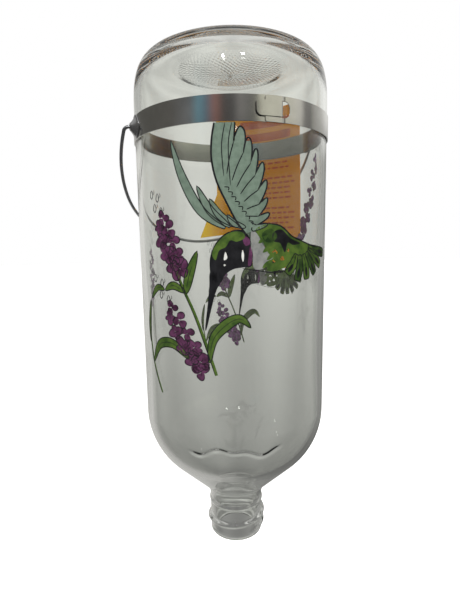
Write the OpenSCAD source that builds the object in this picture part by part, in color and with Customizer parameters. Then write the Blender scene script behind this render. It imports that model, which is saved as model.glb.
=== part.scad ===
// Hanging glass reservoir bottle, neck down, with a steel strap and a wire bail.
// Frame: millimetres, +Z up, origin at the centre of the mouth rim, the bail's pivot along X.

/* [Bottle] */
// Outer diameter of the bottle's body
body_d = 88; // [80:1:92]
// Height from the mouth rim to the base, which is on top
bottle_h = 232.5; // [210:0.5:250]
// Thickness of the glass
wall = 2.5; // [2:0.1:3]
// Width of the flat ring that the base has at its rim, as a diameter
base_d = 61; // [54:1:64]
// Height of the rounded heel between the base and the body
heel_h = 24.3; // [20:0.1:28]
// Squareness of the heel's curve, where 2 is a plain ellipse
heel_power = 2.95; // [2.2:0.05:3.5]
// Radius of the shoulder's curve
shoulder_r = 36; // [32:1:40]
// Height where the shoulder meets the straight body
shoulder_z = 69.8; // [66:0.1:74]

/* [Neck] */
// Outer diameter of the neck
neck_d = 26.8; // [26:0.1:28]
// Diameter of the neck's bore
bore_d = 20.8; // [19:0.1:21.5]
// Radius of the curve between neck and shoulder
neck_fillet = 12; // [8:1:14]
// Radial height of the screw thread
thread_h = 1.5; // [1:0.1:2]
// Rise of the thread in one turn
thread_pitch = 6; // [5:0.1:7]
// Turns of the thread
thread_turns = 1.6; // [1:0.1:1.7]

/* [Strap] */
// Height of the strap's middle line
band_z = 200.3; // [196:0.1:202]
// Width of the strap
band_w = 9.5; // [8:0.5:12]
// Thickness of the strap
band_t = 0.5; // [0.4:0.05:0.8]
// Width of the tongue that is folded back over the clasp
tongue_w = 5.5; // [4:0.5:6.5]

/* [Bail] */
// Diameter of the bail's wire
wire_d = 1.5; // [1.2:0.1:1.8]
// Distance from the pivot line to the middle of the bail
bail_depth = 66.2; // [66:0.1:70]
// Radius of the bail's bottom curve
bail_r = 48; // [47:0.5:50]
// Radius of the bail's sides
side_r = 73; // [68:1:80]
// Angle where the bottom curve hands over to the sides
side_angle = 22; // [18:1:26]
// Angle of the bail below the horizontal when it lies against the bottle
rest_angle = 47; // [46:0.5:47.5]
// Radius of the bend beside each ear
bend_r = 2.2; // [2:0.1:2.6]

/* [Ears] */
// Diameter of each ear at the strap
ear_d = 10; // [9:0.5:11]
// How far each ear stands out from the strap
ear_h = 2.6; // [2.4:0.1:2.8]
// Radial clearance between the wire and the hole in the ear
pivot_gap = 0.06; // [0.03:0.01:0.1]

/* [Tag] */
// Thickness of the card
tag_t = 0.4; // [0.3:0.05:0.5]
// Height of the card's top edge
tag_top = 223; // [215:1:226]
// Height of the card's bottom edge
tag_bottom = 136; // [130:1:145]

/* [Hidden] */
$fn = 96;
eps = 0.01;

body_r = body_d / 2;
body_top = bottle_h - heel_h;
neck_r = neck_d / 2;
bore_r = bore_d / 2;
base_r = base_d / 2;
rim_fillet = 1;
push_up = 3.5;       // depth of the hollow in the base
push_r = base_r - 4; // radius of that hollow at the base's rim
base_glass = 5;      // thickness of the glass in the base

band_in = body_r + 0.05;
band_out = band_in + band_t;

// The shoulder falls at 45 degrees between its curve and the neck's.
slope_r = body_r - shoulder_r * (1 - cos(45));
slope_z = shoulder_z - shoulder_r * sin(45);
fillet_z = slope_z - (slope_r - neck_r) - neck_fillet * tan(22.5);

// An arc's points: centre, radius, first and last angle, number of steps.
function arc(c, r, a0, a1, n) =
    [for (i = [0 : n]) let (a = a0 + (a1 - a0) * i / n) c + r * [cos(a), sin(a)]];

// The heel's curve, from the base's rim down to the body.
function heel(rim_r, side_r, z0, h, n) =
    [for (i = [0 : n]) let (a = 90 - 90 * i / n)
        [rim_r + (side_r - rim_r) * pow(cos(a), 2 / heel_power),
         z0 + h * pow(sin(a), 2 / heel_power)]];

// The outside of the bottle and, moved in by d, its inside.
function shoulder(d, n) = concat(
    arc([body_r - shoulder_r, shoulder_z], shoulder_r - d, 0, -45, n),
    arc([neck_r + neck_fillet, fillet_z], neck_fillet + d, 135, 180, 6));

module outside() {
    polygon(concat(
        [[0, bottle_h]],
        heel(base_r, body_r, body_top, heel_h, 14),
        shoulder(0, 10),
        arc([neck_r - rim_fillet, rim_fillet], rim_fillet, 0, -90, 4),
        [[0, 0]]));
}

module inside() {
    cavity_top = bottle_h - base_glass - body_top;
    polygon(concat(
        [[0, bottle_h - base_glass]],
        heel(base_r - 4, body_r - wall, body_top, cavity_top, 12),
        shoulder(wall, 10),
        [[bore_r, fillet_z - 2], [bore_r, -1], [0, -1]]));
}

// A ridge with a flat crest, wound round the neck and fading out at both ends.
module thread() {
    steps = 40;
    start_z = 3.2;
    root = neck_r - 0.6;
    function fade(t) = min(1, 6 * t, 6 * (1 - t));
    ring = [for (i = [0 : steps])
        let (t = i / steps, a = 360 * thread_turns * t, z = start_z + thread_pitch * thread_turns * t,
             out = neck_r - 0.3 + (thread_h + 0.3) * fade(t))
        for (p = [[root, -1.7], [out, -0.6], [out, 0.6], [root, 1.7]])
            [p[0] * cos(a), p[0] * sin(a), z + p[1]]];
    sides = [for (i = [0 : steps - 1], k = [0 : 3])
        let (a = 4 * i + k, b = 4 * i + (k + 1) % 4)
        each [[a, a + 4, b], [b, a + 4, b + 4]]];
    last = 4 * steps;
    ends = [[0, 1, 2], [0, 2, 3], [last, last + 2, last + 1], [last, last + 3, last + 2]];
    polyhedron(ring, concat(sides, ends));
}

module glass_bottle() {
    color([0.86, 0.9, 0.88, 0.4])
    difference() {
        union() {
            rotate_extrude() outside();
            thread();
        }
        rotate_extrude() inside();
        // the hollow in the base
        translate([0, 0, bottle_h - push_up]) cylinder(h = push_up + eps, r1 = push_r - 6, r2 = push_r);
    }
}

// A length of strap: radii, first and last angle from the front, and width.
module strip(r0, r1, a0, a1, w) {
    rotate([0, 0, a0 - 90])
    rotate_extrude(angle = a1 - a0)
        translate([r0, band_z - w / 2]) square([r1 - r0, w]);
}

module hanging_band() {
    plate = [-7.6, 6.8];   // the end that lies on top, left and right of the front
    fold = 1.4;            // where the tongue comes out and turns back
    tip = -12.2;           // end of the tongue
    lap = band_out - eps;
    color([0.72, 0.73, 0.74])
    difference() {
        union() {
            strip(band_in, band_out, 0, 360, band_w);
            strip(lap, band_out + band_t, plate[0], plate[1], band_w);
            strip(lap, band_out + 2 * band_t, tip, fold, tongue_w);
        }
        // the hole that the tongue comes out of
        strip(band_out, band_out + 3 * band_t, fold, plate[1] - 1.6, tongue_w + 0.6);
    }
}

// A dished cup, opening on the strap, drawn on the X axis.
module ear() {
    peak = band_out + ear_h;
    flat_r = 1.5;
    foot_r = ear_d / 2;
    t = 0.5;
    hole_r = wire_d / 2 + pivot_gap;
    color([0.7, 0.71, 0.72])
    translate([0, 0, band_z])
    difference() {
        rotate([0, 90, 0])
        rotate_extrude()
        polygon([[hole_r, peak - t], [hole_r, peak], [flat_r, peak],
                 [foot_r - 1.2, band_out + 0.55], [foot_r, band_out + 0.3], [foot_r, body_r - 1.5],
                 [foot_r - 1.5, body_r - 1.5], [foot_r - 1.5, band_out + 0.1], [flat_r - 0.1, peak - t]]);
        // the foot is cut to the strap's curve
        cylinder(h = 3 * ear_d, r = band_out, center = true, $fn = 256);
    }
}

module left_bail_ear() mirror([1, 0, 0]) ear();
module right_bail_ear() ear();

// The bail's right half, in a plane: X along the pivot line, Y away from it. Each row is an
// arc: its centre, radius, first and last angle, and number of steps.
bail_bottom_c = [0, bail_depth - bail_r];
bail_side_c = bail_bottom_c + (bail_r - side_r) * [cos(side_angle), sin(side_angle)];
bend_x = bail_side_c[0] + sqrt(pow(side_r - bend_r, 2) - pow(bail_side_c[1] - bend_r, 2));
bend_end = atan2(bend_r - bail_side_c[1], bend_x - bail_side_c[0]);
bail_arcs = [[[bend_x, bend_r], bend_r, -90, bend_end, 8],
             [bail_side_c, side_r, bend_end, side_angle, 9],
             [bail_bottom_c, bail_r, side_angle, 90, 22]];

// A bent wire swept along the arcs and back along their mirror image, with a ring of points at
// each stop. The stops hold a centre, a radius and an angle.
module bent_wire(arcs, sides) {
    half = [for (c = arcs, i = [1 : c[4]]) [c[0], c[1], c[2] + (c[3] - c[2]) * i / c[4]]];
    start = [[arcs[0][0], arcs[0][1], arcs[0][2]]];
    right = concat(start, half);
    n = len(right);
    left = [for (i = [n - 2 : -1 : 0]) let (s = right[i]) [[-s[0][0], s[0][1]], s[1], 180 - s[2]]];
    stops = concat(right, left);
    r = wire_d / 2;
    points = [for (s = stops, k = [0 : sides - 1])
        let (t = 360 * k / sides, p = s[0] + (s[1] + r * cos(t)) * [cos(s[2]), sin(s[2])])
            [p[0], p[1], r * sin(t)]];
    skin = [for (i = [0 : len(stops) - 2], k = [0 : sides - 1])
        let (a = sides * i + k, b = sides * i + (k + 1) % sides)
            each [[a, b, a + sides], [b, b + sides, a + sides]]];
    first = [for (k = [sides - 1 : -1 : 0]) k];
    last = [for (k = [0 : sides - 1]) sides * (len(stops) - 1) + k];
    polyhedron(points, concat(skin, [first, last]));
}

// The straight end of the wire, through the ear, with its upset head inside the cup.
module wire_end() {
    head_x = band_out + 0.65;
    rotate([0, 90, 0]) {
        translate([0, 0, head_x]) cylinder(h = bend_x - head_x + 0.1, d = wire_d + 0.02);
        translate([0, 0, head_x]) cylinder(h = 0.7, d = 2.6);
    }
}

module bail_wire() {
    color([0.66, 0.67, 0.68])
    translate([0, 0, band_z])
    rotate([-rest_angle, 0, 0]) {
        bent_wire(bail_arcs, 10);
        wire_end();
        mirror([1, 0, 0]) wire_end();
    }
}

// A card bent round the back of the bottle, over the strap and under the bail. Its outline is
// drawn flat, looking at the back from the front: X along the card, Y up.
module hang_tag() {
    turn = -41;          // from the back of the bottle to the middle of the card
    side = 29.8;         // from the middle to each side
    top_left = -21;
    waist_z = 178;       // the left edge slants out below here
    corner_z = 153.8;    // the left corner ends above the bail's wire
    step = [-12, 155.6]; // right of here the card passes under the wire
    tag_in = band_out + 0.15;
    color([0.93, 0.58, 0.12])
    intersection() {
        difference() {
            cylinder(h = bottle_h, r = tag_in + tag_t);
            translate([0, 0, -1]) cylinder(h = bottle_h + 2, r = tag_in);
        }
        rotate([0, 0, turn])
        translate([0, body_d, 0])
        rotate([90, 0, 0])
        linear_extrude(height = body_d)
            polygon([[top_left, tag_top], [top_left, waist_z], [-side, corner_z], step,
                     [step[0] + 2, tag_bottom], [side, tag_bottom], [side, tag_top]]);
    }
}

glass_bottle();
hanging_band();
left_bail_ear();
right_bail_ear();
bail_wire();
hang_tag();
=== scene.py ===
"""Looks of a hanging glass feeder bottle: glass, fired print, steel strap and bail, printed card."""
import math

import bmesh
import bpy
from mathutils import Matrix, Vector


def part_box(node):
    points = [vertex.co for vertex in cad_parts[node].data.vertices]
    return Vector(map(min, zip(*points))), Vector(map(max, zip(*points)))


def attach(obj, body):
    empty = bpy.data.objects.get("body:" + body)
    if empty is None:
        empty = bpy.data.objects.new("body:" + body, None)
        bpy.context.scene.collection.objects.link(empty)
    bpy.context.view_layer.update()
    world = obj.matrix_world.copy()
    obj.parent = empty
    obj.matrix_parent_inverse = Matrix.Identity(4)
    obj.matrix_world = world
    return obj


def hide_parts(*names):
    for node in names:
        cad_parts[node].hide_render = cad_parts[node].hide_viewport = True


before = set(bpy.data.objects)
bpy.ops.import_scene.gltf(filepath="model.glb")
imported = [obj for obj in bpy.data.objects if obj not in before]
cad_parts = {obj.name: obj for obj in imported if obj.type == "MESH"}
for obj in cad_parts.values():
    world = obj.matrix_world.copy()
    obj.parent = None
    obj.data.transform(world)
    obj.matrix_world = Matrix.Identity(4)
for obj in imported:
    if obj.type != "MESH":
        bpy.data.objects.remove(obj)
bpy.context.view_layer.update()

MM = 0.001

# ---- dimensions, in millimetres: two that come from the frame, then the design's ----
band_lo, band_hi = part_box("hanging_band")
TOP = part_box("glass_bottle")[1].z / MM
BAND_Z = (band_lo.z + band_hi.z) / 2 / MM
BAND_W = (band_hi.z - band_lo.z) / MM

BODY_R = 44.0
WALL = 2.5
SHOULDER_R = 36.0                  # the big curve from the body towards the neck, and where it starts
SHOULDER_Z = 69.8
HEEL_H = 24.3
HEEL_POWER = 2.95
INNER_POWER = 3.5                  # the inside of the heel is squarer, so the glass is even in thickness
BASE_R = 30.5
BASE_T = 5.0
HOLLOW_R = BASE_R - 4
HOLLOW_DEPTH = 3.5                 # the hollow under the base, and the push-up inside it
PUSH_UP = 3.2

NECK_R = 13.4
BORE_R = 10.4
NECK_FILLET = 12.0
THREAD_H = 1.5
THREAD_HALF = 1.9
THREAD_PITCH = 6.0
THREAD_TURNS = 1.6
THREAD_START = 3.2
BEAD_H = 0.5
BEAD_HALF = 0.7
BEAD_Z = 17.6

BAND_IN = BODY_R + 0.05
BAND_T = 0.5
BAND_OUT = BAND_IN + BAND_T
SHEET = 0.42                       # the strap's end is drawn a little thinner, so that it lies over itself
INK_R = BODY_R + 0.02

AIM = math.radians(-24.5)          # where the camera stands, from the front (-Y) towards +X


# ---- small helpers ----
def smooth(t):
    t = min(1.0, max(0.0, t))
    return t * t * (3 - 2 * t)


def on_bottle(r, s, z):
    """A point at radius r, at arc length s from the front (-Y) measured on the bottle, height z."""
    a = s / BODY_R
    return (r * math.sin(a) * MM, -r * math.cos(a) * MM, z * MM)


def make(name, verts, faces, material, body="bottle", sharp=(), flat=()):
    """A piece that rides on a body. sharp: edges, as sets of two points. flat: faces that aren't smooth."""
    mesh = bpy.data.meshes.new(name)
    mesh.from_pydata(verts, [], faces)
    mesh.polygons.foreach_set("use_smooth", [i not in flat for i in range(len(faces))])
    if sharp:
        for e in mesh.edges:
            if frozenset(e.vertices) in sharp:
                e.use_edge_sharp = True
    mesh.materials.append(material)
    mesh.validate()
    obj = bpy.data.objects.new(name, mesh)
    bpy.context.scene.collection.objects.link(obj)
    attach(obj, body)
    return obj


class Sheet:
    """Flat outlines, wrapped on the bottle as a thin closed sheet. Many outlines can share one mesh."""

    def __init__(self, step):
        """step: the widest facet round the bottle."""
        self.step = step
        self.verts, self.faces = [], []
        self.flat, self.sharp = set(), set()       # the rim's faces, and its edges

    def add(self, loops, radius, thickness):
        """loops: an outer outline and any holes, as lists of (s, z). radius: a number or f(s, z)."""
        bm = bmesh.new()
        edges = []
        for loop in loops:
            vs = [bm.verts.new((x, 0, y)) for x, y in loop]
            edges += [bm.edges.new((vs[i], vs[(i + 1) % len(vs)])) for i in range(len(vs))]
        bmesh.ops.triangle_fill(bm, use_beauty=True, use_dissolve=False, edges=edges)
        xs = [v.co.x for v in bm.verts]
        x = math.floor(min(xs) / self.step) * self.step + self.step
        while x < max(xs):
            geom = list(bm.verts) + list(bm.edges) + list(bm.faces)
            bmesh.ops.bisect_plane(bm, geom=geom, plane_co=(x, 0, 0), plane_no=(1, 0, 0), dist=1e-5)
            x += self.step
        bm.verts.ensure_lookup_table()
        bm.verts.index_update()
        n, start = len(bm.verts), len(self.verts)
        flat_pts = [(v.co.x, v.co.z) for v in bm.verts]
        for lift in (0.0, thickness):
            for s, z in flat_pts:
                r = radius(s, z) if callable(radius) else radius
                self.verts.append(on_bottle(r + lift, s, z))
        for f in bm.faces:
            ids = [v.index for v in f.verts]
            if f.normal.y > 0:
                ids = ids[::-1]
            self.faces.append([start + n + i for i in ids])
            self.faces.append([start + i for i in ids[::-1]])
        for e in bm.edges:
            if len(e.link_faces) == 1:
                a, b = e.verts[0].index, e.verts[1].index
                ids = [v.index for v in e.link_faces[0].verts]
                forward = ids[(ids.index(a) + 1) % len(ids)] == b
                if (e.link_faces[0].normal.y > 0) == forward:
                    a, b = b, a
                self.flat.add(len(self.faces))
                self.faces.append([start + b, start + a, start + n + a, start + n + b])
                self.sharp.add(frozenset((start + a, start + b)))
                self.sharp.add(frozenset((start + n + a, start + n + b)))
        bm.free()

    def strip(self, left, right, radius, thickness):
        """A ribbon between two edges of as many points, as a thin closed sheet."""
        n, start = len(left), len(self.verts)
        for lift in (0.0, thickness):
            for s, z in left + right:
                self.verts.append(on_bottle(radius + lift, s, z))
        # the left edge is on the left of the stroke, so this order faces outwards
        top, low = start + 2 * n, start
        for i in range(n - 1):
            self.faces.append([top + i, top + n + i, top + n + i + 1, top + i + 1])
            self.faces.append([low + i, low + i + 1, low + n + i + 1, low + n + i])
        rim = list(range(n)) + list(range(2 * n - 1, n - 1, -1))
        for i in range(2 * n):
            a, b = rim[i], rim[(i + 1) % (2 * n)]
            self.flat.add(len(self.faces))
            self.faces.append([top + a, top + b, low + b, low + a])

    def build(self, name, material, slot):
        return make(name, self.verts, self.faces, material, sharp=self.sharp, flat=self.flat)


# ---- materials ----
def new_material(name, **sockets):
    m = bpy.data.materials.new(name)
    m.use_nodes = True
    bsdf = m.node_tree.nodes["Principled BSDF"]
    for key, value in sockets.items():
        bsdf.inputs[key.replace("_", " ")].default_value = value
    return m, m.node_tree, bsdf


def link(tree, a, b):
    tree.links.new(a, b)


def object_coords(tree, scale=(1, 1, 1)):
    coords = tree.nodes.new("ShaderNodeTexCoord")
    mapping = tree.nodes.new("ShaderNodeMapping")
    mapping.inputs["Scale"].default_value = scale
    link(tree, coords.outputs["Object"], mapping.inputs["Vector"])
    return mapping.outputs["Vector"]


def noise(tree, vector, scale, detail=3.0, roughness=0.5):
    n = tree.nodes.new("ShaderNodeTexNoise")
    n.inputs["Scale"].default_value = scale
    n.inputs["Detail"].default_value = detail
    n.inputs["Roughness"].default_value = roughness
    link(tree, vector, n.inputs["Vector"])
    return n.outputs["Fac"]


def ramp(tree, fac, stops):
    r = tree.nodes.new("ShaderNodeValToRGB")
    els = r.color_ramp.elements
    els[0].position, els[0].color = stops[0][0], (*stops[0][1], 1)
    els[1].position, els[1].color = stops[-1][0], (*stops[-1][1], 1)
    for pos, col in stops[1:-1]:
        e = els.new(pos)
        e.color = (*col, 1)
    link(tree, fac, r.inputs["Fac"])
    return r.outputs["Color"]


def value_range(tree, value, lo, hi, from_lo=0.0, from_hi=1.0):
    m = tree.nodes.new("ShaderNodeMapRange")
    for name, number in (("From Min", from_lo), ("From Max", from_hi), ("To Min", lo), ("To Max", hi)):
        m.inputs[name].default_value = number
    link(tree, value, m.inputs["Value"])
    return m.outputs["Result"]


def maths(tree, operation, *values):
    m = tree.nodes.new("ShaderNodeMath")
    m.operation = operation
    for socket, value in zip(m.inputs, values):
        if isinstance(value, (int, float)):
            socket.default_value = value
        else:
            link(tree, value, socket)
    return m.outputs["Value"]


def choose(tree, factor, a, b, blend="MIX"):
    """Colour a where the factor is 0, b where it is 1."""
    m = tree.nodes.new("ShaderNodeMix")
    m.data_type = "RGBA"
    m.blend_type = blend
    for name, value in (("Factor", factor), ("A", a), ("B", b)):
        socket = [i for i in m.inputs if i.name == name and (name == "Factor" or i.type == "RGBA")][0]
        if isinstance(value, (int, float, tuple)):
            socket.default_value = value
        else:
            link(tree, value, socket)
    return [o for o in m.outputs if o.type == "RGBA"][0]


def tint(tree, colour, amount):
    return choose(tree, 1.0, colour, amount, "MULTIPLY")


def bump(tree, bsdf, height, strength, distance):
    b = tree.nodes.new("ShaderNodeBump")
    b.inputs["Strength"].default_value = strength
    b.inputs["Distance"].default_value = distance
    link(tree, height, b.inputs["Height"])
    link(tree, b.outputs["Normal"], bsdf.inputs["Normal"])


def glass_material():
    m, tree, bsdf = new_material("clear_glass", IOR=1.5, Transmission_Weight=1.0, Roughness=0.0)
    weight = tree.nodes.new("ShaderNodeLayerWeight")
    weight.inputs["Blend"].default_value = 0.35
    # the glass's own pale green tint in the middle, darker where the glass is seen edge-on: painted shade
    # for its dark edges
    colour = ramp(tree, weight.outputs["Facing"],
                  [(0.0, (0.93, 0.94, 0.915)), (0.7, (0.91, 0.92, 0.895)), (1.0, (0.80, 0.81, 0.78))])
    link(tree, colour, bsdf.inputs["Base Color"])
    # the faint ripple of blown glass
    bump(tree, bsdf, noise(tree, object_coords(tree, (1, 1, 0.35)), 55, 1.0), 0.03, 0.001)
    return m


def steel_material(name, shade, rough, grain_scale, grain=0.15):
    m, tree, bsdf = new_material(name, Metallic=1.0)
    vector = object_coords(tree, grain_scale)
    grains = noise(tree, vector, 900, 4.0, 0.65)
    patches = noise(tree, object_coords(tree), 90, 3.0)
    low = [c * 0.82 for c in shade]
    link(tree, ramp(tree, patches, [(0.3, low), (0.7, shade)]), bsdf.inputs["Base Color"])
    link(tree, value_range(tree, grains, rough * 0.7, rough * 1.4), bsdf.inputs["Roughness"])
    bump(tree, bsdf, grains, grain, 0.00005)
    return m


def ink_material(name, dark, light, scale=260.0, rough=0.45):
    """Fired enamel: brushed colour that is thinner in places, with a slight grain."""
    m, tree, bsdf = new_material(name, Specular_IOR_Level=0.18)
    vector = object_coords(tree)
    blotch = noise(tree, vector, scale, 5.0, 0.6)
    link(tree, ramp(tree, blotch, [(0.34, dark), (0.62, light)]), bsdf.inputs["Base Color"])
    grain = noise(tree, vector, 2600, 2.0)
    link(tree, value_range(tree, grain, rough - 0.1, rough + 0.15), bsdf.inputs["Roughness"])
    bump(tree, bsdf, grain, 0.12, 0.00003)
    return m


def card_material():
    m, tree, bsdf = new_material("tag_card", Specular_IOR_Level=0.08)
    coords = tree.nodes.new("ShaderNodeTexCoord")
    xyz = tree.nodes.new("ShaderNodeSeparateXYZ")
    link(tree, coords.outputs["Object"], xyz.inputs["Vector"])
    # yellow towards the slanted corner, orange elsewhere, as a printed fade
    fade = value_range(tree, xyz.outputs["X"], 0.0, 1.0, 0.002, 0.026)
    base = ramp(tree, fade,
                [(0.0, (1.0, 0.64, 0.006)), (0.45, (0.76, 0.35, 0.005)), (1.0, (0.60, 0.225, 0.006))])
    cloud = value_range(tree, noise(tree, object_coords(tree), 70, 3.0), 0.0, 0.24)
    link(tree, choose(tree, cloud, base, (0.42, 0.10, 0.008, 1)), bsdf.inputs["Base Color"])
    fibre = noise(tree, object_coords(tree), 3000, 3.0)
    link(tree, value_range(tree, fibre, 0.35, 0.55), bsdf.inputs["Roughness"])
    bump(tree, bsdf, fibre, 0.1, 0.00004)
    return m


GLASS = glass_material()
STRAP = steel_material("strap_steel", (0.62, 0.61, 0.585), 0.16, (1, 1, 12))
EAR = steel_material("ear_steel", (0.56, 0.56, 0.57), 0.24, (1, 1, 1))
WIRE = steel_material("wire_steel", (0.50, 0.51, 0.53), 0.28, (6, 1, 1))
CARD = card_material()
BLACK = ink_material("ink_black", (0.004, 0.004, 0.005), (0.012, 0.012, 0.014))
WING = ink_material("ink_wing_grey_green", (0.09, 0.125, 0.096), (0.125, 0.168, 0.131), 420)
GREEN = ink_material("ink_leaf_green", (0.022, 0.05, 0.008), (0.06, 0.105, 0.015))
DARK_GREEN = ink_material("ink_dark_green", (0.008, 0.022, 0.005), (0.03, 0.06, 0.01))
PURPLE = ink_material("ink_purple", (0.03, 0.007, 0.022), (0.092, 0.026, 0.07))
# paler copies of the green and purple inks, for the prints seen from inside the bottle: painted backlight,
# the light from behind that shows through the thin ink
BACKLIT_GREEN = ink_material("ink_backlit_green", (0.05, 0.075, 0.022), (0.10, 0.14, 0.045))
BACKLIT_DARK_GREEN = ink_material("ink_backlit_dark_green", (0.03, 0.048, 0.016), (0.07, 0.095, 0.03))
BACKLIT_PURPLE = ink_material("ink_backlit_purple", (0.085, 0.028, 0.085), (0.17, 0.062, 0.185))
PALE = ink_material("ink_pale", (0.42, 0.42, 0.39), (0.58, 0.58, 0.55))
GREY = ink_material("ink_grey", (0.12, 0.125, 0.12), (0.20, 0.205, 0.19))
CARD_RED = ink_material("ink_card_red", (0.32, 0.045, 0.004), (0.46, 0.085, 0.006))


# ---- the bottle ----
def arc(cx, cz, r, a0, a1, n):
    return [(cx + r * math.cos(math.radians(a0 + (a1 - a0) * i / n)),
             cz + r * math.sin(math.radians(a0 + (a1 - a0) * i / n))) for i in range(n + 1)]


def heel(rim_r, side_r, z0, h, n, power):
    """A rounded corner, as a quarter of a superellipse, from the base's rim down to the side."""
    pts = []
    for i in range(n + 1):
        a = math.radians(90 - 90 * i / n)
        r = rim_r + (side_r - rim_r) * math.cos(a) ** (2 / power)
        pts.append((r, z0 + h * math.sin(a) ** (2 / power)))
    return pts


def line(p, q, n):
    return [(p[0] + (q[0] - p[0]) * i / n, p[1] + (q[1] - p[1]) * i / n) for i in range(1, n + 1)]


def thread_height(turn, z):
    """Height of the screw thread at an angle, in turns from its start, and a height."""
    best = 0.0
    for k in range(3):
        t = (turn + k) / THREAD_TURNS
        if 0 <= t <= 1:
            gap = abs(z - THREAD_START - THREAD_PITCH * (turn + k))
            fade = min(1, 7 * t, 7 * (1 - t))
            if gap < THREAD_HALF:
                crest = math.cos(gap / THREAD_HALF * math.pi / 2) ** 1.3
                best = max(best, THREAD_H * smooth(fade) * crest)
    return best


def bottle_rows():
    """Half a section of the glass as rows of (radius, height, kind), from the middle of the base out,
    down to the mouth, and up the inside back to the middle."""
    slope_r = BODY_R - SHOULDER_R * (1 - math.cos(math.pi / 4))
    slope_z = SHOULDER_Z - SHOULDER_R * math.sin(math.pi / 4)
    fillet_z = slope_z - (slope_r - NECK_R) - NECK_FILLET * math.tan(math.pi / 8)
    fillet_top = (NECK_R + NECK_FILLET * (1 - math.cos(math.pi / 4)),
                  fillet_z + NECK_FILLET * math.sin(math.pi / 4))
    body_top = TOP - HEEL_H
    inner_top = TOP - BASE_T
    inner_base_r = BASE_R - 2
    inner_r = BODY_R - WALL
    lip, inner_lip = 1.0, 0.8
    rows = []

    def add(points, kind):
        rows.extend((r, z, kind) for r, z in points)

    n = 56
    add([(HOLLOW_R * i / n, TOP - HOLLOW_DEPTH * (1 - (i / n) ** 2) ** 1.35) for i in range(n + 1)], "base")
    add([(HOLLOW_R + 1.2, TOP), (BASE_R - 1.0, TOP)], "out")
    add(heel(BASE_R, BODY_R, body_top, HEEL_H, 26, HEEL_POWER), "out")
    add(line((BODY_R, body_top), (BODY_R, SHOULDER_Z), 6), "out")
    add(arc(BODY_R - SHOULDER_R, SHOULDER_Z, SHOULDER_R, -2, -45, 18), "out")
    add(line((slope_r, slope_z), fillet_top, 5), "out")
    add(arc(NECK_R + NECK_FILLET, fillet_z, NECK_FILLET, 137, 180, 8), "out")
    add(line((NECK_R, fillet_z), (NECK_R, lip), 64), "neck")
    add(arc(NECK_R - lip, lip, lip, -15, -90, 5), "out")
    add(arc(BORE_R + inner_lip, inner_lip, inner_lip, -90, -180, 5), "in")
    add(line((BORE_R, inner_lip), (BORE_R, fillet_z - 2), 10), "in")
    add(arc(NECK_R + NECK_FILLET, fillet_z, NECK_FILLET + WALL, 180, 135, 10), "in")
    add(arc(BODY_R - SHOULDER_R, SHOULDER_Z, SHOULDER_R - WALL, -45, 0, 60), "in")
    add(line((inner_r, SHOULDER_Z), (inner_r, body_top), 14), "in")
    add(heel(inner_base_r, inner_r, body_top, inner_top - body_top, 24, INNER_POWER)[::-1], "in")
    shares = [1 - i / 24 for i in range(1, 25)]
    add([(inner_base_r * t, inner_top - PUSH_UP * (1 - t ** 2) ** 2) for t in shares], "in")
    return rows


def detail(r, z, kind, turn):
    """Moves a point of the section: the base's dimples, the neck's thread and bead, the waves inside."""
    a = 2 * math.pi * turn
    if kind == "base" and r > 1:
        pitch, depth, more_per_ring = 1.8, 0.3, 5
        dots = math.sin(2 * math.pi * r / pitch) * math.sin(round(r / pitch + 1) * more_per_ring * a)
        z -= depth * max(0, dots) * smooth((HOLLOW_R - 2.5 - r) / 1.5)
    if kind == "neck":
        r += thread_height(turn, z) + BEAD_H * math.exp(-((z - BEAD_Z) / BEAD_HALF) ** 2)
    if kind == "in" and r > BORE_R + 2:
        # the inside of blown glass is a little uneven
        drift = math.sin(2 * a + z / 31) + 0.6 * math.sin(5 * a - z / 17 + 1) + 0.5 * math.sin(z / 9 + a)
        uneven = 0.11 * drift * smooth((TOP - 8 - z) / 14) * smooth((r - BORE_R - 2) / 12)
        # and it has a wavy chill line in the front of the shoulder
        chill_z = 62.5 + 1.2 * math.sin(9 * a) + 0.8 * math.sin(19 * a + 1)
        front = smooth((math.cos(a - AIM) - 0.87) / 0.05)
        chill = 0.5 * math.exp(-((z - chill_z) / 0.8) ** 2) * front
        r = r - chill + uneven
    return r, z


def build_bottle():
    rows, segs = bottle_rows(), 288
    verts, faces = [], []
    for row in rows:
        for k in range(segs):
            turn = k / segs
            a = 2 * math.pi * turn
            r, z = detail(*row, turn)
            verts.append((r * math.sin(a) * MM, -r * math.cos(a) * MM, z * MM))
    for i in range(len(rows) - 1):
        for k in range(segs):
            a, b = i * segs + k, i * segs + (k + 1) % segs
            faces.append((a, a + segs, b + segs, b))
    obj = make("bottle_glass", verts, faces, GLASS)
    bm = bmesh.new()
    bm.from_mesh(obj.data)
    bmesh.ops.remove_doubles(bm, verts=bm.verts, dist=2e-6)
    bmesh.ops.recalc_face_normals(bm, faces=bm.faces)
    bm.to_mesh(obj.data)
    bm.free()
    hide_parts("glass_bottle")


# ---- the strap, its clasp and the ears ----
def degrees_to_s(a):
    return math.radians(a) * BODY_R


def rounded_rect(x0, x1, z0, z1, r, n=5):
    """Corner radii: left low, right low, right high, left high."""
    corners = [(x0, z0, 180), (x1, z0, 270), (x1, z1, 0), (x0, z1, 90)]
    pts = []
    for (x, z, start), rad in zip(corners, r):
        cx = x + (rad if x == x0 else -rad)
        cz = z + (rad if z == z0 else -rad)
        for i in range(n + 1):
            a = math.radians(start + 90 * i / n)
            pts.append((cx + rad * math.cos(a), cz + rad * math.sin(a)))
    return pts


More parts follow.
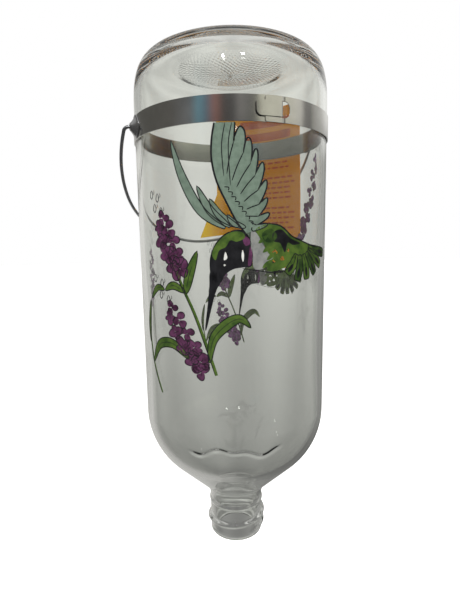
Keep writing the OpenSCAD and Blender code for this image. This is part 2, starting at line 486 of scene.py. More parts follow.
def build_strap():
    lo, hi = BAND_Z - BAND_W / 2, BAND_Z + BAND_W / 2
    tip, plate_l, fold, hole_r, plate_r = [degrees_to_s(a) for a in (-12.2, -7.6, 1.4, 5.9, 20)]
    around = 2 * math.pi * BODY_R
    join = around + plate_l - 6
    square = (0.02,) * 4

    # one end of the strip goes under the other, as far as the hole; the other climbs over it
    strap = Sheet(step=2.0)
    strap.add([rounded_rect(plate_r, join, lo, hi, square, 1)], BAND_IN, BAND_T)
    under = Sheet(step=1.0)
    under.add([rounded_rect(join, around + fold - 0.3, lo, hi, square, 1)], BAND_IN, SHEET)

    def plate_in(s, z):
        crease = 0.26 * math.exp(-((s - fold - 0.75) / 0.42) ** 2)
        flush = BAND_T - SHEET
        return BAND_IN + flush + (SHEET + 0.03 - flush) * smooth((plate_r - s) / 9) - crease

    plate = Sheet(step=0.25)
    hole_half = 3.0
    hole = rounded_rect(fold - 0.5, hole_r, BAND_Z - hole_half, BAND_Z + hole_half, (0.3, 2.4, 2.4, 0.3), 6)
    end = rounded_rect(plate_l, plate_r + 0.02, lo, hi, (0.9, 0.02, 0.02, 0.9), 4)
    plate.add([end, hole], plate_in, SHEET)

    # the tongue comes out of the hole and is folded flat to the left
    def tongue_in(s, z):
        dip = smooth((s - fold + 0.5) / 1.0)
        return BAND_IN + 2 * SHEET + 0.1 + 0.12 * math.exp(-((s - fold + 1.6) / 1.4) ** 2) - 0.9 * dip

    tongue = Sheet(step=0.2)
    tongue_half = 2.75
    outline = rounded_rect(tip, fold + 0.5, BAND_Z - tongue_half, BAND_Z + tongue_half,
                           (2.2, 0.02, 0.02, 0.7), 6)
    tongue.add([outline], tongue_in, SHEET)
    first = strap.build("strap_strip", STRAP, "strap_steel")
    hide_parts("hanging_band")
    for sheet, name in ((under, "strap_under_clasp"), (plate, "clasp_plate"), (tongue, "clasp_tongue")):
        sheet.build(name, STRAP, "strap_steel")


def revolve_x(name, profile, side, segs, material):
    """A closed outline of (distance along X, radius) turned about the pivot line; side is 1 or -1."""
    verts, faces, n = [], [], len(profile)
    for k in range(segs):
        a = 2 * math.pi * k / segs
        for x, r in profile:
            px, py, pz = x, r * math.cos(a), r * math.sin(a)
            # the foot follows the strap's curve
            curve = BAND_OUT - math.sqrt(BAND_OUT ** 2 - py ** 2)
            px -= curve * smooth((r - 2.2) / 2.2)
            verts.append((side * px * MM, py * MM, (BAND_Z + pz) * MM))
    for k in range(segs):
        for i in range(n):
            a, b = k * n + i, k * n + (i + 1) % n
            c, d = ((k + 1) % segs) * n + (i + 1) % n, ((k + 1) % segs) * n + i
            faces.append((a, b, c, d) if side > 0 else (a, d, c, b))
    return make(name, verts, faces, material)


def build_ears():
    hole, peak, foot = 0.81, BAND_OUT + 2.6, 5.0
    outer = [(peak - 0.08, hole), (peak, hole + 0.1), (peak, 1.35), (peak - 0.12, 1.6),
             (peak - 0.62, 2.05), (peak - 1.2, 2.75), (peak - 1.68, 3.45), (peak - 1.98, 4.0),
             (BAND_OUT + 0.5, 4.35), (BAND_OUT + 0.46, 4.85), (BAND_OUT + 0.38, foot),
             (BAND_OUT + 0.06, foot), (BAND_OUT + 0.02, 4.9)]
    inner = [(BAND_OUT + 0.04, 4.2), (BAND_OUT + 0.2, 3.75), (peak - 1.66, 2.6), (peak - 1.0, 1.8),
             (peak - 0.5, 1.3), (peak - 0.5, hole)]
    for side, name in ((-1, "left_bail_ear"), (1, "right_bail_ear")):
        ear = revolve_x(name.replace("bail", "dished"), outer + inner, side, 64, EAR)
        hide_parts(name)


# ---- the bail ----
BAIL_DEPTH = 66.2                  # from the pivot to the far end of the loop
BAIL_R = 48.0                      # of the bottom curve
SIDE_R = 73.0                      # of the long curves at the sides
SIDE_ANGLE = 22.0                  # where the two meet
BEND_R = 2.2                       # of the short bends at the ears
WIRE_R = 0.75
HEAD_X = BAND_OUT + 0.65           # inner end of the wire's head, from the bottle's axis
REST_ANGLE = 47.0                  # how far the bail hangs below the horizontal


def bail_path():
    """Stops along the right half of the wire, from the pivot to the middle: ((x, y), angle of the outward
    normal), in the bail's own plane."""
    bottom = (0.0, BAIL_DEPTH - BAIL_R)
    a = math.radians(SIDE_ANGLE)
    side = ((BAIL_R - SIDE_R) * math.cos(a), bottom[1] + (BAIL_R - SIDE_R) * math.sin(a))
    bend_x = side[0] + math.sqrt((SIDE_R - BEND_R) ** 2 - (side[1] - BEND_R) ** 2)
    bend_end = math.degrees(math.atan2(BEND_R - side[1], bend_x - side[0]))
    stops = [((HEAD_X + 0.7 + (bend_x - HEAD_X - 0.7) * i / 4, 0.0), -90) for i in range(4)]
    arcs = [((bend_x, BEND_R), BEND_R, -90, bend_end, 12), (side, SIDE_R, bend_end, SIDE_ANGLE, 16),
            (bottom, BAIL_R, SIDE_ANGLE, 90, 40)]
    for number, (centre, r, a0, a1, n) in enumerate(arcs):
        for i in range(min(number, 1), n + 1):
            t = math.radians(a0 + (a1 - a0) * i / n)
            stops.append(((centre[0] + r * math.cos(t), centre[1] + r * math.sin(t)), math.degrees(t)))
    return stops


def build_bail():
    right = bail_path()
    left = [((-p[0], p[1]), 180 - a) for p, a in right[-2::-1]]
    sides, verts, faces = 20, [], []
    circle = [(math.cos(2 * math.pi * k / sides), math.sin(2 * math.pi * k / sides)) for k in range(sides)]
    tilt = Matrix.Rotation(math.radians(-REST_ANGLE), 3, "X")

    def place(x, y, z):
        p = tilt @ Vector((x, y, z))
        return (p.x * MM, p.y * MM, (p.z + BAND_Z) * MM)

    body = []
    for (x, y), a in right + left:
        c, s = math.cos(math.radians(a)), math.sin(math.radians(a))
        body.append([(x + WIRE_R * u * c, y + WIRE_R * u * s, WIRE_R * v) for u, v in circle])
    # the heads' rings turn the way of the wire's first and last rings
    head = [(0.01, 0.0), (1.0, 0.0), (1.25, 0.15), (1.3, 0.4), (1.15, 0.62), (WIRE_R, 0.72)]
    start = [[(HEAD_X + x, -r * u, r * v) for u, v in circle] for r, x in head]
    end = [[(-x, y, z) for x, y, z in ring] for ring in start][::-1]
    all_rings = start + body + end
    for ring in all_rings:
        verts.extend(place(*p) for p in ring)
    for i in range(len(all_rings) - 1):
        for k in range(sides):
            a, b = i * sides + k, i * sides + (k + 1) % sides
            faces.append((a, b, b + sides, a + sides))
    faces.append(tuple(range(sides))[::-1])
    faces.append(tuple(range((len(all_rings) - 1) * sides, len(all_rings) * sides)))
    wire = make("bail_wire_drawn", verts, faces, WIRE, body="bail")
    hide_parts("bail_wire")


# ---- the card ----
def build_card():
    inner = BAND_OUT + 0.15
    thick = 0.4
    middle = 139.0                 # degrees from the front, round the bottle
    half = 29.8

    def s_of(x):
        return degrees_to_s(middle - math.degrees(math.asin(x / 44.9)))

    top, waist, corner, step, bottom = 222.8, 178, 153.8, (-12, 155.6), 136.2
    outline = [(-21, top), (-21, waist), (-half, corner), step, (step[0] + 2, bottom), (half, bottom),
               (half, top)]
    card = Sheet(step=1.2)
    card.add([[(s_of(x), z) for x, z in outline]], inner, thick)
    obj = card.build("card_tag", CARD, "tag_card")
    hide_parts("hang_tag")

    # generic bars in place of the card's print, just proud of both faces
    bars = Sheet(step=1.2)

    def bar(x0, x1, z0, z1, corner_r, n):
        loop = rounded_rect(s_of(x1), s_of(x0), z0, z1, (corner_r,) * 4, n)
        for radius in (inner - 0.03, inner + 0.41):
            bars.add([loop], radius, 0.02)

    for row in range(21):
        z = 201 - row * 2.7
        x = -6.0
        while x < half - 5:
            width = 1.6 + 2.6 * abs(math.sin(row * 2.3 + x * 1.7))
            if row % 6 != 5 and x + width < half - 3:
                bar(x, x + width, z, z + 1.0, 0.3, 2)
            x += width + 0.8
    for z in (206, 213):
        bar(-12 + z / 50, half - 6, z, z + 4.2, 1.2, 4)
    bars.build("card_print_bars", CARD_RED, "fired_ink")


# ---- the fired print: a hovering bird and flower spikes ----
# Its layout, the bird's pose and many outline points follow the picture in the photograph closely, and
# that is an open fault. The rest stands as it is without the call of build_prints().
def spline(points, n=7, closed=True):
    """A smooth curve through the points."""
    count, out = len(points), []
    for i in range(count if closed else count - 1):
        if closed:
            p = [points[(i + k) % count] for k in (-1, 0, 1, 2)]
        else:
            p = [points[min(max(i + k, 0), count - 1)] for k in (-1, 0, 1, 2)]
        for j in range(n):
            t = j / n
            w = ((-t + 2 * t * t - t ** 3) / 2, (2 - 5 * t * t + 3 * t ** 3) / 2,
                 (t + 4 * t * t - 3 * t ** 3) / 2, (t ** 3 - t * t) / 2)
            out.append(tuple(sum(w[k] * p[k][c] for k in range(4)) for c in (0, 1)))
    return out if closed else out + [tuple(points[-1])]


def sideways(points):
    """The unit normals of an open curve."""
    out = []
    for i in range(len(points)):
        a, b = points[max(i - 1, 0)], points[min(i + 1, len(points) - 1)]
        dx, dy = b[0] - a[0], b[1] - a[1]
        d = math.hypot(dx, dy) or 1
        out.append((-dy / d, dx / d))
    return out


def leaf(points, width, tip=0.9, n=6):
    """A pointed leaf or feather round a centre line, from base to tip."""
    mid = spline(points, n, closed=False)
    last = len(mid) - 1
    left, right = [], []
    for i, (p, s) in enumerate(zip(mid, sideways(mid))):
        w = width / 2 * math.sin(math.pi * (0.04 + 0.96 * i / last)) ** tip
        left.append((p[0] + s[0] * w, p[1] + s[1] * w))
        right.append((p[0] - s[0] * w, p[1] - s[1] * w))
    return left[:-1] + [mid[-1]] + right[-2::-1]


def finger(a, b, tip, n=12):
    """The rounded end of a feather between two valleys, without its last point."""
    mx, my = (a[0] + b[0]) / 2, (a[1] + b[1]) / 2
    out = []
    for i in range(n):
        t = math.pi * i / n
        c, s = math.cos(t), math.sin(t) ** 0.7
        c = math.copysign(abs(c) ** 0.85, c)
        out.append((mx + (a[0] - mx) * c + (tip[0] - mx) * s, my + (a[1] - my) * c + (tip[1] - my) * s))
    return out


def lobed(centre, size, turn, lobes=3, n=40, depth=0.16):
    out = []
    for i in range(n):
        a = 2 * math.pi * i / n
        r = size * (1 - depth + depth * math.cos(lobes * a + turn))
        out.append((centre[0] + r * math.cos(a), centre[1] + 0.92 * r * math.sin(a)))
    return out


class Print:
    """A picture in ink. Each layer stands proud of the last on both sides, so it reads through the glass."""
    LAYER, STEP = 0.01, 1.0

    def __init__(self, name, place, inks, pen=1.0):
        self.name, self.place, self.inks, self.pen, self.sheets = name, place, inks, pen, {}

    def sheet(self, ink):
        return self.sheets.setdefault(ink, Sheet(self.STEP))

    def fill(self, ink, outline, layer=0, holes=()):
        loops = [[self.place(*p) for p in loop] for loop in (outline, *holes)]
        r = INK_R + self.LAYER * (1 - layer)
        self.sheet(ink).add(loops, r, self.LAYER * (2 + 2 * layer))

    def line(self, ink, points, width, layer=2, taper=(0.35, 0.35)):
        """A pen stroke: a ribbon along the curve that thins towards its ends."""
        pts = [self.place(*p) for p in points]
        last = len(pts) - 1
        left, right = [], []
        for i, (p, s) in enumerate(zip(pts, sideways(pts))):
            t = i / last
            w = self.pen * width / 2 * min(1, taper[0] + 5 * t, taper[1] + 5 * (1 - t))
            left.append((p[0] + s[0] * w, p[1] + s[1] * w))
            right.append((p[0] - s[0] * w, p[1] - s[1] * w))
        r = INK_R + self.LAYER * (1 - layer)
        self.sheet(ink).strip(left, right, r, self.LAYER * (2 + 2 * layer))

    def outlined(self, ink, outline, width=0.45, holes=()):
        self.fill(ink, outline, 0, holes)
        self.line("black", outline + outline[:1], width, taper=(1, 1))

    def build(self):
        for ink, sheet in self.sheets.items():
            sheet.build(f"{self.name}_{ink}", self.inks[ink], "fired_ink")


def draw_wing(p):
    """The raised wing: a fan of feathers, cut off straight under the strap."""
    cut = BAND_Z - BAND_W / 2 - 0.3
    edge = [(-13.5, 154.4), (-16.8, 158.6), (-20.7, 166), (-24.4, 174), (-26.2, 182), (-26.1, 189),
            (-25, cut)]
    valleys = [(-17.7, 188.6), (-14.2, 184.4), (-11.4, 180.6), (-9.7, 176.2), (-8.5, 170.8), (-8.2, 165.4),
               (-8.6, 160.9), (-9.2, 157.6), (-10.8, 155.2)]
    tips = [(-14.3, 193.2), (-11.6, 189.4), (-8.8, 185.3), (-6.2, 180.2), (-4.9, 173.6), (-4.7, 167),
            (-4, 161.6), (-4.9, 157.6)]
    front = spline(edge, 6, closed=False)
    fan = [pt for a, b, t in zip(valleys, valleys[1:], tips) for pt in finger(a, b, t)] + valleys[-1:]
    top = [(-20.6, cut), (-17.2, cut)]
    p.fill("wing", front + top + fan)
    p.line("black", front, 0.75, taper=(0.6, 0.8))
    p.line("black", top[1:] + fan, 0.62, taper=(1, 0.6))
    roots = [(-21.6 + 10.4 * i / 8, 172 - 14.6 * i / 8) for i in range(9)]
    for i, (v, r) in enumerate(zip(valleys, roots)):
        end = (v[0] + 0.72 * (r[0] - v[0]), v[1] + 0.72 * (r[1] - v[1]))
        p.line("black", spline([v, ((v[0] + end[0]) / 2 - 0.3, (v[1] + end[1]) / 2), end], 6, False), 0.44)
    for x, low in ((-22.3, 176), (-19.8, 172.5)):
        p.line("black", spline([(x + 1.4, cut), (x, 187), (x + 0.6, low)], 8, False), 0.38)
    # the short feathers that cover the roots of the long ones
    for i in range(8):
        a, b = roots[i], roots[i + 1]
        out = ((a[0] + b[0]) / 2 + 1.1, (a[1] + b[1]) / 2 + 0.7)
        p.line("black", spline([a, out, (b[0] + 0.25, b[1] + 0.4)], 4, False), 0.42)


def draw_far_wing(p):
    blades = [([(-21.5, 156.6), (-31, 163.5), (-38.8, 177), (-43.4, 190.4)], 3.8),
              ([(-19.6, 157), (-27.2, 163.4), (-32.4, 172.8)], 3.1),
              ([(-16.4, 157), (-23.4, 161.4), (-27.4, 167.8)], 3),
              ([(-13.6, 156.8), (-18, 158.4), (-20.6, 161.6)], 2.4)]
    for points, width in blades:
        p.outlined("wing", leaf(points, width, 0.75), 0.42)


def draw_tail(p):
    """A fan of six feathers, each with a quill and a dark tip."""
    feathers = [((9, 146), (4.6, 138.8)), ((11, 145.6), (9.8, 135.9)), ((13.2, 145.8), (15.6, 136.2)),
                ((15, 146.6), (21.4, 138)), ((16.2, 147.6), (26.8, 141.2)), ((16.6, 148.6), (31, 146))]
    for i, (base, tip) in enumerate(feathers):
        mid = ((base[0] + tip[0]) / 2 + 0.6, (base[1] + tip[1]) / 2 - 0.4)
        d = (tip[0] - mid[0], tip[1] - mid[1])
        shape = leaf([base, mid, tip, (tip[0] + 0.2 * d[0], tip[1] + 0.2 * d[1])], 4.1, 0.5)
        p.outlined("dark_green" if i % 2 else "green", shape, 0.4)
        p.line("black", spline([base, mid, tip], 5, False), 0.3)
        p.fill("black", leaf([mid, tip], 1.6, 0.8), 1)


def draw_body(p):
    """The green back with gaps of bare glass, its dark markings, and the grey breast."""
    body = spline([(-9.6, 155.8), (-4.6, 158), (1, 157), (6.6, 153), (12.4, 150.9), (18, 149.2), (20, 147),
                   (14, 144.6), (8.4, 143.4), (3.4, 141), (-1.5, 139.6), (-5, 140.4), (-4.4, 145),
                   (-6.4, 150.6)])
    gaps = [lobed((-1.6, 147), 1.25, 0.4, 4, 14), lobed((1.8, 144.4), 1.1, 1.8, 3, 12),
            lobed((-2.2, 143.4), 0.8, 0.9, 3, 12), lobed((4.6, 147.6), 0.7, 2.2, 3, 12)]
    back = [(-5, 158.2), (1, 157.2), (6.6, 153.2), (12.4, 151.1), (18, 149.5), (24.4, 148.2)]
    nape = [(-7, 154.4), (-3.4, 156.2), (-0.6, 153.4), (-2.8, 151), (-6, 151.4)]
    saddle = [(-2.4, 154.6), (1.4, 155.8), (5.8, 152.4), (11, 150.4), (7.2, 149.7), (4.4, 150.6),
              (3, 146.8), (0.8, 150.4), (-2.2, 151.4)]
    breast = [(-11.6, 154.4), (-9.4, 154.6), (-7, 150.6), (-4.2, 146.4), (-2.4, 145), (-4.4, 143.4),
              (-6, 141.2), (-8.8, 140.4), (-10.8, 142.4)]
    p.fill("green", body, 0, gaps)
    p.line("black", spline(back, 6, False), 0.6)
    p.fill("dark_green", spline(nape), 1)
    p.fill("black", spline(saddle), 1)
    p.fill("grey", spline(breast))
    for x, z, length in ((-7.8, 152, 3), (-6, 148.4, 3.6), (-4.4, 145.4, 3.4), (-6.2, 142.4, 3)):
        p.fill("green", leaf([(x + length, z + 1.6), (x + 1, z), (x - 0.8, z - 1.4)], 1.7), 1)


def draw_head(p):
    """A dark head with bare glints, a long beak, a green crown and a purple edge to the throat."""
    head = [(-27, 136.4), (-27.9, 142), (-27.2, 147), (-24.8, 151.6), (-20.8, 154.9), (-15.4, 155.9),
            (-12, 152.6), (-10.8, 147), (-11.4, 142), (-14.8, 141.4), (-18.4, 140.8), (-21.6, 138.8),
            (-24.2, 135.4)]
    glints = [spline([(-21.6, 147.6), (-20.8, 145.2), (-22.2, 144.4)], 4),
              lobed((-21.9, 142.4), 0.5, 0, 3, 10),
              spline([(-14.9, 148.2), (-14.3, 146.2), (-14.7, 143.6), (-15.3, 145.6)], 4)]
    beak = [(-27.5, 140), (-28.2, 134), (-29, 127), (-30.3, 117.4), (-29.6, 117.2), (-27.4, 125.6),
            (-25.4, 132.4), (-22.4, 138.4)]
    crown = [(-26.8, 146.6), (-25.4, 150), (-22.2, 153.4), (-18.4, 155.2), (-14.8, 154.8), (-14, 152.8),
             (-17, 151.4), (-19.6, 151.9), (-21.4, 149.4), (-24, 148), (-25.4, 144.4)]
    cheeks = [[(-14.4, 153.6), (-12.2, 152.4), (-12, 150.4), (-13.6, 149.8), (-14.6, 151.4)],
              [(-11.8, 149.6), (-11, 146.4), (-11.6, 142.4), (-12.8, 142.4), (-12.4, 146.4)]]
    p.fill("black", spline(head))
    for glint in glints:
        p.fill("pale", glint, 1)
    p.fill("black", spline(beak, 6))
    p.fill("green", spline(crown), 1)
    for cheek in cheeks:
        p.fill("purple", spline(cheek), 1)


def draw_bird(p, far_wing=True):
    draw_tail(p)
    draw_body(p)
    if far_wing:
        draw_far_wing(p)
    draw_head(p)
    draw_wing(p)
    belly = [(-15, 141), (-10, 140.2), (-4, 139.2), (1.5, 139.2), (6, 141)]
    p.line("black", spline(belly, 6, False), 0.4)


def draw_blossom(p, centre, size, turn):
    """Three or four round petals that overlap, with broken pen lines round them and a dark throat."""
    count = 3 + int(2 * abs(math.sin(turn)))
    for k in range(count):
        a = turn + 2 * math.pi * k / count
        reach, r = 0.5 * size, size * (0.5 + 0.1 * math.sin(turn + 3 * k))
        c = (centre[0] + reach * math.cos(a), centre[1] + reach * math.sin(a))
        petal = lobed(c, r, turn + k, 2 + k % 2, 20, 0.1)
        p.fill("purple", petal)
        first = int(20 * (a / (2 * math.pi) % 1)) - 7
        p.line("black", [petal[(first + j) % 20] for j in range(13)], 0.36)
        p.line("black", [centre, ((centre[0] + c[0]) / 2 + 0.15 * r, (centre[1] + c[1]) / 2), c], 0.3)


def draw_spike(p, top, bottom, count, size, buds=4):
    """Blossoms down both sides of a line, larger towards the bottom, and bare outlined buds on top."""
    dx, dz = bottom[0] - top[0], bottom[1] - top[1]
    length = math.hypot(dx, dz)
    nx, nz = -dz / length, dx / length
    for i in range(count):
        t = i / (count - 1)
        side = (-1) ** i * (0.2 + 0.3 * math.sin(math.pi * min(1, t + 0.1))) * size
        r = size * (0.68 + 0.2 * t - 0.1 * math.sin(i * 2.1))
        draw_blossom(p, (top[0] + dx * t + nx * side, top[1] + dz * t + nz * side), r, 1.7 * i)
    for i in range(buds):
        t = -(0.1 + 0.11 * i)
        side = (-1) ** i * 0.3 * size
        c = (top[0] + dx * t * 1.1 + nx * side, top[1] + dz * t * 1.25 + nz * side)
        bud = [(c[0] + x, c[1] + z) for x, z in ((0, 1.9), (-0.95, -0.2), (0, -1.5), (0.9, 0))]
        tendril = [(c[0] + x, c[1] + z) for x, z in ((0.9, 0), (1.9, 0.8), (1.6, 2))]
        loop = spline(bud, 4)
        p.line("black", loop + loop[:1], 0.36)
        p.line("black", tendril, 0.3)


def draw_leaf(p, points, width):
    p.outlined("green", leaf(points, width, 0.8), 0.42)
    p.line("black", spline(points, 5, False)[2:-3], 0.24)


def draw_stem(p, points, width):
    curve = spline(points, 8, closed=False)
    p.line("green", curve, width, 0, taper=(0.5, 0.9))
    p.line("black", [(x - width * 0.42, z) for x, z in curve], 0.4)


def draw_flowers(p):
    draw_stem(p, [(-44.2, 142.5), (-39.4, 132.4), (-34.4, 122), (-29, 107), (-26, 97.6)], 1.35)
    draw_leaf(p, [(-38.4, 131), (-36.8, 138), (-32.9, 148)], 4)
    draw_leaf(p, [(-38.8, 131.4), (-44.6, 134), (-49.4, 131.8)], 3.2)
    draw_leaf(p, [(-50, 132), (-54.6, 132.6), (-59.6, 127.6)], 2.6)
    draw_leaf(p, [(-28.8, 103), (-27, 112.6), (-21.4, 118.8), (-16, 121), (-11.8, 117.2)], 4.4)
    draw_leaf(p, [(-38, 104), (-46, 109.4), (-54.6, 107.8), (-60, 99)], 4.2)
    draw_stem(p, [(-63, 117), (-60.2, 100), (-54, 86.2)], 1.1)
    draw_leaf(p, [(-62.6, 108), (-62.6, 117), (-60.6, 127)], 2.4)
    draw_spike(p, (-50.8, 160.6), (-42.4, 140.5), 9, 5.4)
    draw_spike(p, (-47.2, 124), (-32, 99.5), 10, 5)


def build_prints():
    inks = {"black": BLACK, "wing": WING, "green": GREEN, "dark_green": DARK_GREEN, "purple": PURPLE,
            "grey": GREY, "pale": PALE}
    # the prints seen through the glass take the paler inks: painted backlight through the ink
    backlit_inks = {**inks, "green": BACKLIT_GREEN, "dark_green": BACKLIT_DARK_GREEN, "purple": BACKLIT_PURPLE}
    eye_s, eye_z = -19, 146.3
    back_eye_s, back_eye_z = 107.9, 130.7

    def as_drawn(s, z):
        return s, z

    def on_back(s, z):
        """Smaller, and mirrored so that it reads the right way through the glass."""
        return back_eye_s - 0.7 * (s - eye_s), back_eye_z + 0.82 * (z - eye_z)

    front = Print("front_print", as_drawn, inks)
    draw_flowers(front)
    draw_bird(front)
    front.build()
    back = Print("back_print", on_back, backlit_inks, pen=0.45)
    draw_flowers(back)
    draw_bird(back, far_wing=False)
    back.build()
    side = Print("side_print", as_drawn, backlit_inks, pen=0.45)
    draw_spike(side, (56, 190), (73, 152), 11, 4.2)
    draw_spike(side, (-95, 146), (-90, 122), 9, 3.6)
    draw_stem(side, [(-90, 124), (-92, 110), (-95, 92)], 1.2)
    draw_stem(side, [(73, 154), (78, 140), (80, 122)], 1.2)
    side.build()


# ---- stage, light and camera ----
FOLD_STEP = 13                     # degrees between the backdrop's soft folds
FOLD_AT = 154.2                    # the middle of one dark fold, in degrees from the front


def build_floor():
    """A round white floor just under the mouth, in three rings."""
    floor_z, n = -0.0002, 64
    verts = [(0, 0, floor_z)]
    faces = [(0, 1 + k, 1 + (k + 1) % n) for k in range(n)]
    for r in (0.3, 1.0, 3.0):
        angles = [2 * math.pi * k / n for k in range(n)]
        verts += [(r * math.cos(t), r * math.sin(t), floor_z) for t in angles]
    for ring in (0, 1):
        a, b = 1 + ring * n, 1 + (ring + 1) * n
        faces += [(a + k, b + k, b + (k + 1) % n, a + (k + 1) % n) for k in range(n)]
    mesh = bpy.data.meshes.new("floor")
    mesh.from_pydata(verts, [], faces)
    floor = bpy.data.objects.new("floor", mesh)
    bpy.context.scene.collection.objects.link(floor)
    white, _, _ = new_material("floor_white", Base_Color=(0.9, 0.9, 0.9, 1), Roughness=0.9,
                               Emission_Color=(1, 1, 1, 1), Emission_Strength=0.8)
    mesh.materials.append(white)
    floor.visible_transmission = False
    floor.visible_glossy = False


def soft_studio(tree, height, turn):
    """Grey below and nearly white above, with the soft folds of a backdrop."""
    shade = ramp(tree, height,
                 [(0.0, (0.2, 0.2, 0.196)), (0.2, (0.25, 0.25, 0.243)), (0.26, (0.34, 0.34, 0.33)),
                  (0.37, (0.52, 0.52, 0.505)), (0.52, (0.72, 0.72, 0.70)), (0.65, (0.78, 0.78, 0.755)),
                  (1.0, (0.9, 0.9, 0.88))])
    phase = math.radians(270 - FOLD_AT * 360 / FOLD_STEP)
    fold = maths(tree, "SINE", maths(tree, "MULTIPLY_ADD", turn, 360 / FOLD_STEP, phase))
    folds = value_range(tree, maths(tree, "MULTIPLY_ADD", fold, 0.5, 0.5), 0.85, 1.03)
    return tint(tree, shade, folds)


def dark_and_light_room(tree, height, turn):
    """What gloss shows, in stops once round the room, from behind the object back to there. Those of the
    walls were set by sampled tones, until the strap looked as it does in the photograph."""
    share = value_range(tree, turn, 0.0, 1.0, -math.pi, math.pi)
    dark, blue, red, light = (0.09, 0.088, 0.082), (0.17, 0.37, 0.46), (0.36, 0.16, 0.13), (0.7, 0.69, 0.66)
    # a dim wall, a blue and a red thing, a dark corner, a bright wall, a dark post and another bright wall
    walls = ramp(tree, share,
                 [(0.0, (0.3, 0.3, 0.29)), (0.07, (0.12, 0.12, 0.11)), (0.24, (0.13, 0.125, 0.115)),
                  (0.31, (0.2, 0.21, 0.22)), (0.335, blue), (0.36, (0.13, 0.2, 0.26)), (0.385, red),
                  (0.41, (0.05, 0.04, 0.035)), (0.44, (0.05, 0.05, 0.05)), (0.46, (0.25, 0.24, 0.23)),
                  (0.485, (0.16, 0.16, 0.15)), (0.513, (0.2, 0.2, 0.17)), (0.522, (0.84, 0.84, 0.69)),
                  (0.6, (0.9, 0.89, 0.76)), (0.69, (0.87, 0.86, 0.8)), (0.702, (0.16, 0.15, 0.15)),
                  (0.712, (0.16, 0.16, 0.16)), (0.724, (0.52, 0.52, 0.48)), (0.78, (0.74, 0.74, 0.71)),
                  (0.83, (1.0, 1.0, 0.98)), (0.9, light)])
    below = ramp(tree, share,
                 [(0.0, light), (0.06, light), (0.12, dark), (0.3, (0.1, 0.1, 0.1)),
                  (0.75, (0.06, 0.06, 0.055)), (0.88, (0.12, 0.12, 0.115)), (0.94, (0.5, 0.5, 0.48)),
                  (1.0, light)])
    # the walls' pattern stands above the horizon, and the ceiling over it is plain
    rise = ramp(tree, height, [(0.585, (0, 0, 0)), (0.62, (1, 1, 1))])
    ceiling = ramp(tree, height, [(0.68, (0, 0, 0)), (0.8, (1, 1, 1))])
    return choose(tree, ceiling, choose(tree, rise, below, walls), (0.5, 0.5, 0.49, 1))


def build_world():
    """White behind the object; soft grey studio through the glass; a room of light and dark in the gloss."""
    world = bpy.data.worlds.new("studio")
    bpy.context.scene.world = world
    world.use_nodes = True
    tree = world.node_tree
    coords = tree.nodes.new("ShaderNodeTexCoord")
    xyz = tree.nodes.new("ShaderNodeSeparateXYZ")
    link(tree, coords.outputs["Generated"], xyz.inputs["Vector"])
    height = value_range(tree, xyz.outputs["Z"], 0.0, 1.0, -1.0, 1.0)
    # the angle round the object, from the front towards +X
    flip = maths(tree, "MULTIPLY", xyz.outputs["Y"], -1.0)
    turn = maths(tree, "ARCTAN2", xyz.outputs["X"], flip)
    soft = soft_studio(tree, height, turn)
    room = dark_and_light_room(tree, height, turn)

    path = tree.nodes.new("ShaderNodeLightPath")

    def after(kind, count):
        """1 for a ray that has met more surfaces of a kind than count."""
        return maths(tree, "GREATER_THAN", path.outputs[kind + " Depth"], count)

    # a ray that already met something matt gathers light: this is the room's brightness, and the
    # light that comes in through the glass is set nearly twice as strong, so that the card glows
    lighting = choose(tree, after("Transmission", 0.5), (1.5, 1.49, 1.46, 1), (2.8, 2.78, 2.7, 1))
    through = choose(tree, after("Diffuse", 0.5), soft, lighting)
    # what a reflection shows once it has gone through glass is between the two: mostly the studio when
    # it is in one wall of the glass, and mostly the room when it is steel behind the bottle
    veil = maths(tree, "MULTIPLY_ADD", after("Transmission", 6.5), 0.5, 0.35)
    veiled = maths(tree, "MULTIPLY", after("Glossy", 0.5), veil)
    gloss = choose(tree, maths(tree, "MAXIMUM", path.outputs["Is Reflection Ray"], veiled), through, room)
    seen = choose(tree, path.outputs["Is Camera Ray"], gloss, (1, 1, 1, 1))
    link(tree, seen, tree.nodes["Background"].inputs["Color"])


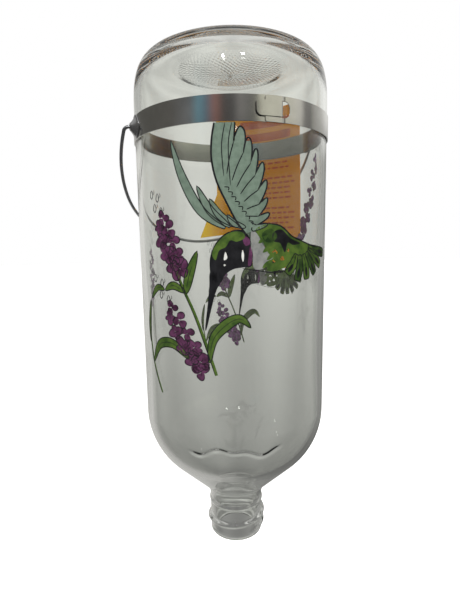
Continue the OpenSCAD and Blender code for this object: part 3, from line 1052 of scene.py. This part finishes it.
def add_lamp(name, position, size, power, glint=True):
    """glint: whether the lamp itself shows in gloss and through glass."""
    lamp = bpy.data.lights.new(name, "AREA")
    lamp.shape = "RECTANGLE"
    lamp.size, lamp.size_y = size
    lamp.energy = power
    obj = bpy.data.objects.new(name, lamp)
    bpy.context.scene.collection.objects.link(obj)
    obj.location = position
    obj.visible_glossy = glint
    obj.visible_transmission = glint
    target = Vector((0, 0, 0.12))
    obj.rotation_euler = (target - Vector(position)).to_track_quat("-Z", "Y").to_euler()


def build_camera():
    """At AIM, looking slightly down: distance from the bottle's axis and height, then turns in radians."""
    distance, height = 211.675 * MM, 152.19 * MM
    pitch, yaw, roll = 0.15433, -0.007561, -0.015761
    ahead = Vector((math.sin(yaw) * math.cos(pitch), math.cos(yaw) * math.cos(pitch), -math.sin(pitch)))
    right = Vector((math.cos(yaw), -math.sin(yaw), 0))
    up = right.cross(ahead)
    x = math.cos(roll) * right + math.sin(roll) * up
    y = -math.sin(roll) * right + math.cos(roll) * up
    spin = Matrix.Rotation(AIM, 3, "Z")
    m = Matrix((spin @ x, spin @ y, spin @ -ahead)).transposed().to_4x4()
    m.translation = spin @ Vector((0, -distance, height))
    data = bpy.data.cameras.new("camera")
    data.sensor_width = 36
    data.lens = 25.223
    data.clip_start = 0.005
    camera = bpy.data.objects.new("camera", data)
    bpy.context.scene.collection.objects.link(camera)
    camera.matrix_world = m
    bpy.context.scene.camera = camera


build_camera()
build_floor()
build_world()
add_lamp("key_light", (-0.55, -0.75, 0.75), (0.5, 0.5), 6, glint=False)
add_lamp("flash_light", (-0.1, -0.6, 0.62), (0.05, 0.03), 0.8)
add_lamp("second_flash_light", (-0.32, -0.52, 0.6), (0.03, 0.05), 0.5)
bpy.context.scene.view_settings.view_transform = "Standard"
# thick glass needs long light paths
LIGHT_BOUNCES = 24
cycles = bpy.context.scene.cycles
cycles.max_bounces = cycles.transmission_bounces = cycles.glossy_bounces = LIGHT_BOUNCES

build_bottle()
build_strap()
build_ears()
build_bail()
build_card()
build_prints()
